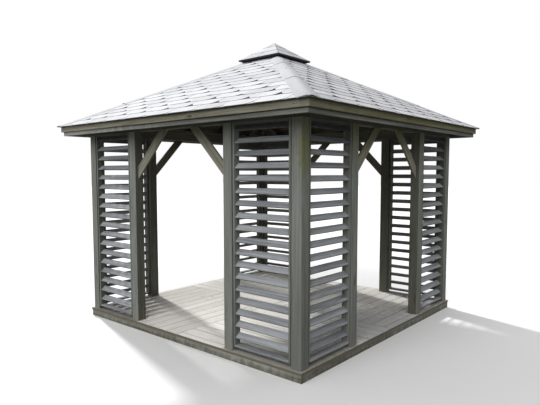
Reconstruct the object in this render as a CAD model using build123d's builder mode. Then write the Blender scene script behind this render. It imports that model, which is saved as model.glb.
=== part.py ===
# Garden gazebo: a square timber pavilion with louvred corners and a hipped shingle roof.
# Millimetres, +Z up. The origin is under the middle of the base, at ground level.
# Each side is named as seen from outside: front is -Y, right is +X.

import os
from math import cos, floor, radians, sin, sqrt, tan

from build123d import *

# Plan
frame_span = 3170  # over the outer faces of the corner posts
post_side = 106
opening_width = 1366  # clear width between the two door posts of a side
arris = 3  # chamfer on the long edges of planed timber

# Base and deck
joist_height = 70
joist_width = 45
joist_spacing = 385  # in each of the four modules, evened out
deck_board_width = 145
deck_board_thickness = 25
deck_gap = 7.5
deck_overhang = 24  # deck beyond the outer faces of the posts, over the skirt
skirt_thickness = 18
joint_gap = 1  # open joint between two boards in one line

# Walls
post_height = 2110
beam_height = 140
brace_width = 95
brace_thickness = 25
brace_leg = 379  # from the inner corner of post and beam to the upper edge of the brace
panel_depth = 70
panel_setback = 6  # panel face behind the outer face of the posts
panel_board = 20  # thickness of stiles and rails
panel_clearance = 40  # below the bottom rail
packing_thickness = 12  # strip between stile and post, the dark line beside each post
packing_setback = 14  # behind the face of the panel
packing_depth = 42
slat_width = 70
slat_thickness = 12
slat_tilt = 42
slat_spacing = 112  # from slat to slat, evened out over the height
slat_head_gap = 2  # top slat below the top rail

# Roof
roof_pitch = 26.2
eave_reach = 241  # outer face of the posts to the face of the upper fascia
shingle_drip = 36  # shingles beyond the upper fascia
shingle_butt = 6
shingle_head = 3
shingle_exposure = 143.5
roof_board_thickness = 20
rafter_depth = 95
birdsmouth_notch = 34  # cut into the rafter at the outer face of the beam, measured upright
rafter_width = 45
rafter_spacing = 590
hip_depth = 110
hip_width = 45
boss_flats = 160  # across the flats of the octagonal boss
boss_drop = 60  # boss below the rafters
boss_chamfer = 20
upper_fascia_thickness = 22
upper_fascia_drop = 66  # below the edge of the shingles
lower_fascia_thickness = 20
lower_fascia_drop = 110
hip_cap_width = 250
hip_cap_thickness = 4

# Cap over the apex
cap_pitch = 33.65
cap_overhang = 46  # shingles of the cap beyond the kerb
cap_shingle = 6
cap_board = 15
cap_drip = 5
cap_fascia_thickness = 18
cap_fascia_height = 14
kerb_half = 271
kerb_thickness = 20
kerb_rise = 38  # outer face of the kerb above the shingles

# Levels and plan distances that follow
half_span = frame_span / 2
deck_top = joist_height + deck_board_thickness
post_top = deck_top + post_height
beam_top = post_top + beam_height
door_post_x = opening_width / 2 + post_side / 2
corner_post_x = half_span - post_side / 2
fascia_face = half_span + eave_reach
fascia_back = fascia_face - upper_fascia_thickness
rafter_tail = fascia_back - lower_fascia_thickness
eave_half = fascia_face + shingle_drip
rafter_top = shingle_butt + roof_board_thickness  # rafters lie this far under the shingles
seat_level = beam_top - birdsmouth_notch  # underside of the rafters at the outer face of the beams
roof_thickness = (rafter_top + rafter_depth) / cos(radians(roof_pitch))
apex_level = seat_level + roof_thickness + half_span * tan(radians(roof_pitch))
eave_level = apex_level - eave_half * tan(radians(roof_pitch))
cap_half = kerb_half + cap_overhang
cap_under = cap_shingle + cap_board
cap_slope = tan(radians(cap_pitch))
kerb_top = apex_level - kerb_half * tan(radians(roof_pitch)) + kerb_rise
cap_apex = kerb_top + kerb_half * cap_slope + cap_under * sqrt(1 + cap_slope**2)

sides = {"front": 0, "right": 90, "back": 180, "left": 270}
corners = {"front_right": 0, "back_right": 90, "back_left": 180, "front_left": 270}


def outward(turn):
    """Horizontal direction out of a side."""
    return Vector(0, -1, 0).rotate(Axis.Z, turn)


def along(turn):
    """Horizontal direction along a side, to the right as seen from outside."""
    return Vector(1, 0, 0).rotate(Axis.Z, turn)


def wall_plane(turn, setback, level=deck_top):
    """Upright plane of a side: x along it, y up from level, z out of it."""
    return Plane(
        origin=outward(turn) * (half_span - setback) + Vector(0, 0, level),
        x_dir=along(turn),
        z_dir=outward(turn),
    )


def section_plane(turn, offset=0):
    """Upright plane square to a side: x runs outwards from the middle, y is the level above the ground."""
    return Plane(origin=along(turn) * offset, x_dir=outward(turn), z_dir=-along(turn))


def diagonal_plane(turn):
    """Upright plane through the hip at the right-hand end of a side: x runs out to the corner, y is the level."""
    corner = (along(turn) + outward(turn)).normalized()
    return Plane(origin=(0, 0, 0), x_dir=corner, z_dir=corner.rotate(Axis.Z, -90))


def hip_face(turn, hand, gap=0):
    """Upright plane along one hip of a slope, gap inside it, facing away from the slope."""
    normal = (along(turn) * hand - outward(turn)).normalized()
    return Plane(origin=normal * -gap, z_dir=normal)


def roof_level(reach, depth=0):
    """Level of a plane parallel to the slope, depth under the shingles, at a plan distance from the middle."""
    return apex_level - reach * tan(radians(roof_pitch)) - depth / cos(radians(roof_pitch))


def cap_roof_level(reach, depth=0):
    """The same for the small roof of the cap."""
    return cap_apex - reach * cap_slope - depth * sqrt(1 + cap_slope**2)


def slope_plane(turn, depth):
    """Plane parallel to a slope, depth under the shingles: x runs along the side, y up the slope."""
    angle = radians(roof_pitch)
    normal = outward(turn) * sin(angle) + Vector(0, 0, cos(angle))
    return Plane(origin=(0, 0, roof_level(0, depth)), x_dir=along(turn), z_dir=normal)


def finish(builder, name):
    """Label a finished piece and write it."""
    builder.part.label = name
    export_step(builder.part, f"parts/{name}.step")


def base_frame():
    """Four square modules bolted together, each with its joists square to the boards it carries."""
    side = half_span
    rows = round((side - joist_width) / joist_spacing) + 1
    with BuildPart() as frame:
        for turn in corners.values():
            with BuildSketch(Plane.XY.rotated((0, 0, turn))):
                with Locations((side / 2, -side / 2)):
                    with GridLocations((side - joist_width) / (rows - 1), 0, rows, 1):
                        Rectangle(joist_width, side)
                    with GridLocations(0, side - joist_width, 1, 2):
                        Rectangle(side, joist_width)
            extrude(amount=joist_height)
    finish(frame, "base_frame")


def deck_boards():
    """Four fields of boards, each turned square to the next, with the outermost board of a field ripped to fit."""
    inner = deck_gap / 2
    length = half_span + deck_overhang - inner
    pitch = deck_board_width + deck_gap
    full = floor(length / pitch)
    ripped = length - full * pitch
    with BuildPart() as deck:
        for turn in corners.values():
            with BuildSketch(Plane.XY.offset(joist_height).rotated((0, 0, turn))):
                with Locations((inner + length / 2, -inner - (full * pitch - deck_gap) / 2)):
                    with GridLocations(0, pitch, 1, full):
                        Rectangle(length, deck_board_width)
                if ripped > 2 * deck_gap:
                    with Locations((inner + length / 2, -inner - length + ripped / 2)):
                        Rectangle(length, ripped)
            extrude(amount=deck_board_thickness)
    finish(deck, "deck_boards")


def skirt_boards():
    """Boards that close the edge of the base under the deck, two on each side with a joint in the middle."""
    with BuildPart() as skirt:
        for turn in sides.values():
            run = half_span + skirt_thickness if turn % 180 == 0 else half_span - joint_gap
            with BuildSketch(Plane.XY.rotated((0, 0, turn))):
                for hand in (-1, 1):
                    middle = hand * (run + joint_gap / 2) / 2
                    with Locations((middle, -half_span - skirt_thickness / 2)):
                        Rectangle(run - joint_gap / 2, skirt_thickness)
            extrude(amount=joist_height)
    finish(skirt, "skirt_boards")


def post(name, plane, x, y):
    """A planed square post standing on the deck."""
    with BuildPart() as timber:
        with BuildSketch(plane) as section:
            with Locations((x, y)):
                Rectangle(post_side, post_side)
            chamfer(section.vertices(), arris)
        extrude(amount=post_height)
    finish(timber, name)


def posts():
    """Four corner posts and two door posts on each side."""
    for corner, turn in corners.items():
        plane = Plane.XY.offset(deck_top).rotated((0, 0, turn))
        post(f"corner_post_{corner}", plane, corner_post_x, -corner_post_x)
    for side, turn in sides.items():
        plane = Plane.XY.offset(deck_top).rotated((0, 0, turn))
        post(f"door_post_{side}_left", plane, -door_post_x, -corner_post_x)
        post(f"door_post_{side}_right", plane, door_post_x, -corner_post_x)


def louvre_panels():
    """A frame of boards on edge, packed out from a corner post and a door post, with tilted slats let in."""
    inner_edge = opening_width / 2 + post_side
    bay_width = half_span - post_side - inner_edge
    panel_width = bay_width - 2 * packing_thickness
    panel_middle = inner_edge + bay_width / 2
    height = post_height - panel_clearance
    slatted_height = height - 2 * panel_board - slat_head_gap
    slat_count = round(slatted_height / slat_spacing)
    slat_pitch = slatted_height / slat_count
    slat_rise = slat_width * sin(radians(slat_tilt)) + slat_thickness * cos(radians(slat_tilt))
    lowest_slat = panel_clearance + panel_board + slat_pitch - slat_rise / 2
    for side, turn in sides.items():
        for hand, end in ((-1, "left"), (1, "right")):
            face = wall_plane(turn, panel_setback)
            section = Plane(
                origin=face.origin + face.x_dir * (hand * panel_middle - panel_width / 2),
                x_dir=-face.z_dir,
                z_dir=face.x_dir,
            )
            with BuildPart() as panel:
                with BuildSketch(face):
                    with Locations((hand * panel_middle, panel_clearance + height / 2)):
                        Rectangle(panel_width, height)
                        Rectangle(panel_width - 2 * panel_board, height - 2 * panel_board, mode=Mode.SUBTRACT)
                extrude(amount=-panel_depth)
                with BuildSketch(face.offset(-packing_setback)):
                    with Locations((hand * panel_middle, panel_clearance + height / 2)):
                        with GridLocations(panel_width + packing_thickness, 0, 2, 1):
                            Rectangle(packing_thickness, height)
                extrude(amount=-packing_depth)
                with BuildSketch(section):
                    for slat in range(slat_count):
                        with Locations(Location((panel_depth / 2, lowest_slat + slat * slat_pitch), slat_tilt)):
                            Rectangle(slat_width, slat_thickness)
                extrude(amount=panel_width)
            finish(panel, f"louvre_panel_{side}_{end}")


def braces():
    """Two planks in each opening, from the door posts up to the beam."""
    post_face = opening_width / 2
    foot = brace_width * sqrt(2)
    for side, turn in sides.items():
        with BuildPart() as pair:
            with BuildSketch(wall_plane(turn, (post_side - brace_thickness) / 2)):
                with BuildLine():
                    Polyline(
                        (post_face, post_height - brace_leg),
                        (post_face - brace_leg, post_height),
                        (post_face - brace_leg - foot, post_height),
                        (post_face, post_height - brace_leg - foot),
                        close=True,
                    )
                make_face()
                mirror(about=Plane.YZ)
            extrude(amount=-brace_thickness)
        finish(pair, f"braces_{side}")


def top_beams():
    """Wall plates on the posts, half lapped at the corners: the front and back beams pass below."""
    for side, turn in sides.items():
        lap_level = beam_height * (3 if turn % 180 == 0 else 1) / 4
        with BuildPart() as beam:
            with BuildSketch(wall_plane(turn, 0, post_top)):
                with Locations((0, beam_height / 2)):
                    Rectangle(frame_span, beam_height)
                with Locations((0, lap_level)):
                    with GridLocations(frame_span - post_side, 0, 2, 1):
                        Rectangle(post_side, beam_height / 2, mode=Mode.SUBTRACT)
            extrude(amount=-post_side)
        finish(beam, f"top_beam_{side}")


def rafter(turn, offset, inner_reach):
    """One rafter square to its side, with a birdsmouth over the beam and a plumb cut at the fascia."""
    with BuildPart() as timber:
        with BuildSketch(section_plane(turn, offset)):
            with BuildLine():
                Polyline(
                    (inner_reach, roof_level(inner_reach, rafter_top)),
                    (rafter_tail, roof_level(rafter_tail, rafter_top)),
                    (rafter_tail, roof_level(rafter_tail, rafter_top + rafter_depth)),
                    (inner_reach, roof_level(inner_reach, rafter_top + rafter_depth)),
                    close=True,
                )
            make_face()
            with Locations((half_span - post_side / 2, beam_top - beam_height / 2)):
                Rectangle(post_side, beam_height, mode=Mode.SUBTRACT)
        extrude(amount=rafter_width / 2, both=True)
        if offset != 0:
            hand = offset / abs(offset)
            split(bisect_by=hip_face(turn, hand, hip_width / 2), keep=Keep.BOTTOM)
    return timber.part


def rafters():
    """Common rafters from the boss to each side, and jack rafters cut against the hips."""
    jacks = floor((half_span - hip_width) / rafter_spacing)
    pieces = []
    for turn in sides.values():
        pieces.append(rafter(turn, 0, boss_flats / 2))
        for number in range(1, jacks + 1):
            pieces.append(rafter(turn, number * rafter_spacing, 0))
            pieces.append(rafter(turn, -number * rafter_spacing, 0))
    with BuildPart() as frame:
        add(pieces)
    finish(frame, "rafters")


def hip_rafters():
    """Four rafters under the hips, bevelled to both slopes and notched over the corners of the beams."""
    fall = tan(radians(roof_pitch)) / sqrt(2)
    depth = hip_depth * sqrt(1 + fall**2)
    inner = boss_flats / 2
    outer = rafter_tail * sqrt(2)
    pieces = []
    for turn in corners.values():
        with BuildPart() as hip:
            with BuildSketch(diagonal_plane(turn)):
                with BuildLine():
                    Polyline(
                        (inner, roof_level(inner / sqrt(2), rafter_top)),
                        (outer, roof_level(rafter_tail, rafter_top)),
                        (outer, roof_level(rafter_tail, rafter_top) - depth),
                        (inner, roof_level(inner / sqrt(2), rafter_top) - depth),
                        close=True,
                    )
                make_face()
            extrude(amount=hip_width / 2, both=True)
            for slope in (turn, turn + 90):
                split(bisect_by=slope_plane(slope, rafter_top), keep=Keep.BOTTOM)
                tail = Plane(origin=outward(slope) * rafter_tail, z_dir=outward(slope))
                split(bisect_by=tail, keep=Keep.BOTTOM)
            with BuildSketch(Plane.XY.offset(post_top)):
                Rectangle(frame_span, frame_span)
            extrude(amount=beam_height, mode=Mode.SUBTRACT)
        pieces.append(hip.part)
    with BuildPart() as frame:
        add(pieces)
    finish(frame, "hip_rafters")


def roof_boss():
    """The octagonal boss that the hips and the common rafters butt against, pointed to the slopes."""
    foot = roof_level(boss_flats / 2, rafter_top + rafter_depth) - boss_drop
    with BuildPart() as boss:
        with BuildSketch(Plane.XY.offset(foot)):
            RegularPolygon(boss_flats / 2, 8, major_radius=False, rotation=22.5)
        extrude(amount=apex_level - foot)
        for turn in sides.values():
            split(bisect_by=slope_plane(turn, rafter_top), keep=Keep.BOTTOM)
        chamfer(boss.edges().group_by(Axis.Z)[0], boss_chamfer)
    finish(boss, "roof_boss")


def between_hips(turn, gap=0):
    """Trim what has been made to the slope between its two hips."""
    for hand in (-1, 1):
        split(bisect_by=hip_face(turn, hand, gap), keep=Keep.BOTTOM)


def mitred_ring(name, outline, reach, gap):
    """Four like boards round the roof, with an outline in the section of a side, mitred at the corners."""
    pieces = []
    for turn in sides.values():
        with BuildPart() as board:
            with BuildSketch(section_plane(turn)):
                with BuildLine():
                    Polyline(*outline, close=True)
                make_face()
            extrude(amount=reach, both=True)
            between_hips(turn, gap)
        pieces.append(board.part)
    with BuildPart() as ring:
        add(pieces)
    finish(ring, name)


def fascias():
    """The lower fascia on the rafter tails, and the upper one proud of it under the shingles."""
    lower_edge = eave_level - lower_fascia_drop
    lower_top = roof_level(fascia_back, rafter_top)
    lower = ((rafter_tail, lower_edge), (fascia_back, lower_edge), (fascia_back, lower_top), (rafter_tail, lower_top))
    mitred_ring("lower_fascia", lower, fascia_back, joint_gap / 2)
    upper_edge = eave_level - upper_fascia_drop
    upper = (
        (fascia_back, upper_edge),
        (fascia_face, upper_edge),
        (fascia_face, roof_level(fascia_face, shingle_butt)),
        (fascia_back, roof_level(fascia_back, shingle_butt)),
    )
    mitred_ring("upper_fascia", upper, fascia_face, joint_gap / 2)


def roof_boarding():
    """The boarded slopes, mitred at the hips, from the apex to the back of the upper fascia."""
    for side, turn in sides.items():
        with BuildPart() as boarding:
            with BuildSketch(section_plane(turn)):
                with BuildLine():
                    Polyline(
                        (0, roof_level(0, shingle_butt)),
                        (fascia_back, roof_level(fascia_back, shingle_butt)),
                        (fascia_back, roof_level(fascia_back, rafter_top)),
                        (0, roof_level(0, rafter_top)),
                        close=True,
                    )
                make_face()
            extrude(amount=fascia_back, both=True)
            between_hips(turn)
        finish(boarding, f"roof_boarding_{side}")


def shingles():
    """Courses of shingles on the four slopes: each butt stands proud of the course below."""
    angle = radians(roof_pitch)
    slope_length = (eave_half - kerb_half) / cos(angle)
    starts = [0]
    while starts[-1] + shingle_exposure < slope_length:
        starts.append(starts[-1] + shingle_exposure)
    outline = [(0, 0)]
    for start, end in zip(starts, starts[1:] + [slope_length]):
        outline.append((start, shingle_butt))
        outline.append((end, shingle_head))
    outline.append((slope_length, 0))
    pieces = []
    for turn in sides.values():
        up_slope = outward(turn) * -cos(angle) + Vector(0, 0, sin(angle))
        eave = outward(turn) * eave_half + Vector(0, 0, roof_level(eave_half, shingle_butt))
        with BuildPart() as slope:
            with BuildSketch(Plane(origin=eave, x_dir=up_slope, z_dir=along(turn))):
                with BuildLine():
                    Polyline(*outline, close=True)
                make_face()
            extrude(amount=eave_half, both=True)
            between_hips(turn, joint_gap / 2)
        pieces.append(slope.part)
    with BuildPart() as courses:
        add(pieces)
    finish(courses, "shingles")


def hip_caps():
    """Strips of shingle folded over the hips, from the eaves to the kerb of the cap."""
    fall = cos(radians(roof_pitch))
    strip = hip_cap_width / 2 * sqrt(1 + fall**2)
    fold = 2 * hip_cap_thickness
    pieces = []
    for turn in sides.values():
        for hand in (-1, 1):
            with BuildPart() as leg:
                with BuildSketch(slope_plane(turn, 0)):
                    with BuildLine():
                        Polyline(
                            (hand * (eave_half + fold), -eave_half / fall),
                            (hand * (eave_half - strip), -eave_half / fall),
                            (hand * (kerb_half - strip), -kerb_half / fall),
                            (hand * (kerb_half + fold), -kerb_half / fall),
                            close=True,
                        )
                    make_face()
                extrude(amount=hip_cap_thickness)
                split(bisect_by=hip_face(turn, hand), keep=Keep.BOTTOM)
            pieces.append(leg.part)
    with BuildPart() as caps:
        add(pieces)
    finish(caps, "hip_caps")


def cap():
    """The kerb on the boarding and the small roof over it, with its own fascia."""
    kerb_inner = kerb_half - kerb_thickness
    kerb_outline = (
        (kerb_inner, roof_level(kerb_inner, shingle_butt)),
        (kerb_half, roof_level(kerb_half, shingle_butt)),
        (kerb_half, cap_roof_level(kerb_half, cap_under)),
        (kerb_inner, cap_roof_level(kerb_inner, cap_under)),
    )
    mitred_ring("cap_kerb", kerb_outline, kerb_half, joint_gap / 2)
    face = cap_half - cap_drip
    back = face - cap_fascia_thickness
    lower_edge = cap_roof_level(face, cap_shingle) - cap_fascia_height
    roof_outline = (
        (0, cap_roof_level(0)),
        (cap_half, cap_roof_level(cap_half)),
        (cap_half, cap_roof_level(cap_half, cap_shingle)),
        (face, cap_roof_level(face, cap_shingle)),
        (face, lower_edge),
        (back, lower_edge),
        (back, cap_roof_level(back, cap_under)),
        (0, cap_roof_level(0, cap_under)),
    )
    mitred_ring("cap_roof", roof_outline, cap_half, 0)


os.makedirs("parts", exist_ok=True)
base_frame()
deck_boards()
skirt_boards()
posts()
louvre_panels()
braces()
top_beams()
rafters()
hip_rafters()
roof_boss()
roof_boarding()
fascias()
shingles()
hip_caps()
cap()
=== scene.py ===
import bpy
import math
import mathutils
import numpy as np
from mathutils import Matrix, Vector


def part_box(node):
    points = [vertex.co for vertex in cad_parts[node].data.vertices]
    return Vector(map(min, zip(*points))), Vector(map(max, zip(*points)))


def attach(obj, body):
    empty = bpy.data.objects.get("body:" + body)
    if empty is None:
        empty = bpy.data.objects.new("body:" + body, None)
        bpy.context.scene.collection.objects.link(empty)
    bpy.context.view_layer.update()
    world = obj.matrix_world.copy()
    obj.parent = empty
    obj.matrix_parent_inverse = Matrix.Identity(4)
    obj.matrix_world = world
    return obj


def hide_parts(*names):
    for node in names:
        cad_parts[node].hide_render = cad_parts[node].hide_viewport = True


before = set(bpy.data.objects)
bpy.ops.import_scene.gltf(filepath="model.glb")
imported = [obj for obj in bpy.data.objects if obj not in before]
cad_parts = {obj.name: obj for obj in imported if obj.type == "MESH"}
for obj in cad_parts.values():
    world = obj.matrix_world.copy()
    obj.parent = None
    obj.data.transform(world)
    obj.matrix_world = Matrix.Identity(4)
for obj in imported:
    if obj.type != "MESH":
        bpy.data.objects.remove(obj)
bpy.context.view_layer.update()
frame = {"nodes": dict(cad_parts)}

scene, nodes = bpy.context.scene, frame["nodes"]
sideTurns = {"front": 0, "right": 90, "back": 180, "left": 270}
skyward = np.array([0.0, 0.0, 1.0])
rng = np.random.default_rng(41)
grainRoom = 40  # metres over which the grain of the boards starts
arrisStep = 0.3  # where an arris is broken in two, as a share of it


def low(node):
    return np.array(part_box(node)[0])


def high(node):
    return np.array(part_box(node)[1])


def unit(vectors):
    return vectors / np.linalg.norm(vectors, axis=-1, keepdims=True)


def pairs(first, second):
    # every value of the first with every value of the second, which changes faster
    return [grid.ravel() for grid in np.meshgrid(first, second, indexing="ij")]


def sideAxes(side):
    # along runs to the right seen from outside, out points away from the building
    turn = math.radians(sideTurns[side])
    cosine, sine = math.cos(turn), math.sin(turn)
    return np.array([cosine, sine, 0.0]), np.array([sine, -cosine, 0.0])


def allSides():
    return [(side, *sideAxes(side)) for side in sideTurns]


halfSpan = high("corner_post_front_right")[0]


def roundedSection(width, height, radius, steps=2):
    # A rectangle whose corners are quarter circles: corner centre plus radius times (cos, sin) of the angle.
    angles = np.linspace(0, math.pi / 2, steps + 1)
    quarter = radius * np.stack([np.cos(angles), np.sin(angles)], axis=1)
    arcs = [quarter, quarter[:, ::-1] * [-1, 1], -quarter, quarter[:, ::-1] * [1, -1]]
    signs = np.array([(1, 1), (-1, 1), (-1, -1), (1, -1)])
    half = np.array([width / 2 - radius, height / 2 - radius])
    return np.concatenate([sign * half + arc for sign, arc in zip(signs, arcs)])


def tubeFaces(count, rings, points):
    # Closed tubes: a face between neighbouring rings at each point, and a cap at each end. Also gives the
    # ring, the point and the next point of each face, in the order of one tube.
    ring, point = pairs(np.arange(rings - 1), np.arange(points))
    after = (point + 1) % points
    here, above = ring * points, (ring + 1) * points
    quads = np.stack([here + point, here + after, above + after, above + point], -1)
    base = (np.arange(count) * rings * points)[:, None]
    caps = np.concatenate([base + np.arange(points)[::-1], base + (rings - 1) * points + np.arange(points)])
    return [(base[:, None] + quads).reshape(-1, 4), caps], ring, point, after


def sweepBoards(section, start, end, up, cutStart=None, cutEnd=None, stations=2, bow=0.0, lift=0.0, shadeMarks=None):
    # Each board is a closed section carried along a straight line. At an end, every point of the section
    # slides along the board until it meets the plane of the cut. Stations between lie in proportion, moved
    # sideways by bow * sin(pi * t), which leaves the ends in place. The marks given paint shade on the face after
    # each point.
    start, end, up = [np.atleast_2d(np.array(v, dtype=float)) for v in (start, end, up)]
    count, points = len(start), len(section)
    up = np.broadcast_to(up, start.shape)
    axis = unit(end - start)
    length = np.linalg.norm(end - start, axis=1)
    up = unit(up - axis * np.sum(up * axis, axis=1, keepdims=True))
    sideways = np.cross(up, axis)
    offset = section[None, :, 0, None] * sideways[:, None] + section[None, :, 1, None] * up[:, None]

    def slide(normal):
        if normal is None:
            return np.zeros((count, points))
        normal = np.broadcast_to(np.array(normal, dtype=float), start.shape)
        return -np.einsum("bpk,bk->bp", offset, normal) / np.sum(axis * normal, axis=1)[:, None]

    part = np.linspace(0, 1, stations)[None, :, None]
    first = slide(cutStart)[:, None]
    last = (length[:, None] + slide(cutEnd))[:, None]
    run = first + (last - first) * part
    bend = np.sin(np.pi * part)
    bow, lift = [(size * rng.uniform(-1, 1, (count, 1, 1)) * bend)[..., None] for size in (bow, lift)]
    verts = (start[:, None, None] + offset[:, None] + run[..., None] * axis[:, None, None]
             + bow * sideways[:, None, None] + lift * up[:, None, None])
    faces, s, p, after = tubeFaces(count, stations, points)

    # the grain map: u runs along the board, v round its section, and each board starts somewhere else
    girth = np.concatenate([[0], np.cumsum(np.linalg.norm(np.roll(section, -1, axis=0) - section, axis=1))])
    shift = rng.uniform(0, grainRoom, (count, 2))[:, None]
    u = np.stack([run[:, s, p], run[:, s, after], run[:, s + 1, after], run[:, s + 1, p]], -1)
    v = np.stack([girth[p], girth[p + 1], girth[p + 1], girth[p]], -1)[None] * np.ones((count, 1, 1))
    faceMap = np.stack([u, v], -1) + shift[:, None]
    capMap = np.concatenate([section[::-1] + shift, section + shift])
    tone = rng.uniform(-1, 1, count)
    shadeMarks = np.zeros(points) if shadeMarks is None else np.array(shadeMarks)
    return {
        "verts": [verts.reshape(-1, 3)],
        "faces": faces,
        "maps": [faceMap.reshape(-1, 2), capMap.reshape(-1, 2)],
        "tone": [np.repeat(tone, len(s)), np.tile(tone, 2)],
        "mark": [np.tile(shadeMarks[p], count), np.ones(2 * count)],
    }


def inScene(name, data):
    thing = bpy.data.objects.new(name, data)
    scene.collection.objects.link(thing)
    return thing


def addPiece(name, parts, material, replaced=(), smooth=False):
    # Parts go into one mesh, one after another, the points of each numbered on from the last. It has the map
    # "boardMap" and the values tone, mark and depth.
    whole, total = {key: [] for key in parts[0]}, 0
    for part in parts:
        for key, rows in part.items():
            whole[key] += [row + total for row in rows] if key == "faces" else rows
        total += len(part["verts"][0])
    mesh = bpy.data.meshes.new(name)
    corners = [row for faces in whole["faces"] for row in faces.tolist()]
    mesh.from_pydata(np.concatenate(whole["verts"]).tolist(), [], corners)
    boardMap = mesh.uv_layers.new(name="boardMap")
    boardMap.data.foreach_set("uv", np.concatenate(whole["maps"]).astype(np.float32).ravel())
    for key, domain in (("tone", "FACE"), ("mark", "FACE"), ("depth", "POINT")):
        if key in whole:
            values = mesh.attributes.new(key, "FLOAT", domain)
            values.data.foreach_set("value", np.concatenate(whole[key]).astype(np.float32))
    mesh.materials.append(material)
    mesh.polygons.foreach_set("use_smooth", np.full(len(mesh.polygons), smooth))
    mesh.update()
    piece = inScene(name, mesh)
    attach(piece, "root")
    if replaced:
        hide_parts(*replaced)


bench = {}  # its tree is the one being built


def put(kind, settings=None, **inputs):
    # One node: i0, i1 ... are its inputs by number, other names are its inputs by name.
    tree = bench["tree"]
    node = tree.nodes.new("ShaderNode" + kind)
    for key, value in (settings or {}).items():
        setattr(node, key, value)
    for key, value in inputs.items():
        socket = node.inputs[int(key[1:]) if key[0] == "i" and key[1:].isdigit() else key]
        if isinstance(value, bpy.types.NodeSocket):
            tree.links.new(value, socket)
        else:
            socket.default_value = value
    return node


def calc(operation, a, b=0.0, c=0.0):
    return put("Math", {"operation": operation}, i0=a, i1=b, i2=c).outputs[0]


def times(*factors):
    product = factors[0]
    for factor in factors[1:]:
        product = calc("MULTIPLY", product, factor)
    return product


def timesPlus(a, b, c):
    return calc("MULTIPLY_ADD", a, b, c)


def middled(pattern):
    return calc("SUBTRACT", pattern, 0.5)


def swayed(level, pattern, amount):
    # the level, moved by amount times how far the noise lies from its middle value
    return timesPlus(middled(pattern), amount, level)


def vectors(operation, a, b=(0.0, 0.0, 0.0)):
    return put("VectorMath", {"operation": operation}, i0=a, i1=b).outputs


def split(vector):
    return put("SeparateXYZ", i0=vector).outputs


def band(value, bottom, top, toLow=0.0, toHigh=1.0):
    settings = {"interpolation_type": "SMOOTHSTEP"}
    return put("MapRange", settings, i0=value, i1=bottom, i2=top, i3=toLow, i4=toHigh).outputs[0]


def blend(factor, a, b, kind="MIX"):
    return put("Mix", {"data_type": "RGBA", "blend_type": kind}, i0=factor, i6=a, i7=b).outputs[2]


def choose(factor, a, b):
    return put("Mix", {"data_type": "FLOAT"}, i0=factor, i2=a, i3=b).outputs[0]


def noise(vector, scale, detail=3.0, roughness=0.55):
    stretched = vectors("MULTIPLY", vector, scale)[0]
    return put("TexNoise", Vector=stretched, Scale=1.0, Detail=detail, Roughness=roughness).outputs[0]


def scattered(vector, scale, rarity):
    # cells strewn over the surface: the distance from a cell's middle, and 1 in the cells that are chosen
    cells = put("TexVoronoi", Vector=vectors("MULTIPLY", vector, scale)[0], Scale=1.0).outputs
    draw = put("SeparateColor", i0=cells["Color"]).outputs[0]
    return cells["Distance"], calc("GREATER_THAN", draw, rarity)


def placeOf(kind="Object"):
    return put("TexCoord").outputs[kind]


def boardMapOf():
    return put("UVMap", {"uv_map": "boardMap"}).outputs[0]


def valueOf(name):
    return put("Attribute", {"attribute_name": name}).outputs["Fac"]


def feed(sockets, values):
    for name, value in values.items():
        bench["tree"].links.new(value, sockets[name])


def newGroup(name, inputs, outputs=("Color",)):
    # an input of three numbers is a vector and one of four a colour; of the outputs only Color is a colour
    tree = bench["tree"] = bpy.data.node_groups.new(name, "ShaderNodeTree")
    kinds = {1: "NodeSocketFloat", 3: "NodeSocketVector", 4: "NodeSocketColor"}
    for label, value in inputs.items():
        socket = tree.interface.new_socket(name=label, in_out="INPUT", socket_type=kinds[np.size(value)])
        socket.default_value = value
    for label in outputs:
        tree.interface.new_socket(name=label, in_out="OUTPUT", socket_type=kinds[4 if label == "Color" else 1])
    return tree, tree.nodes.new("NodeGroupInput").outputs, tree.nodes.new("NodeGroupOutput").inputs


def newMaterial(name):
    material = bpy.data.materials.new(name)
    material.use_nodes = True
    bench["tree"] = material.node_tree
    return material, material.node_tree.nodes["Principled BSDF"].inputs


def shade(hexCode):
    # hex as seen on screen, to the linear values that the shader takes
    values = [int(hexCode[i:i + 2], 16) / 255 for i in (0, 2, 4)]
    return [v / 12.92 if v <= 0.04045 else ((v + 0.055) / 1.055) ** 2.4 for v in values] + [1.0]


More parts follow.
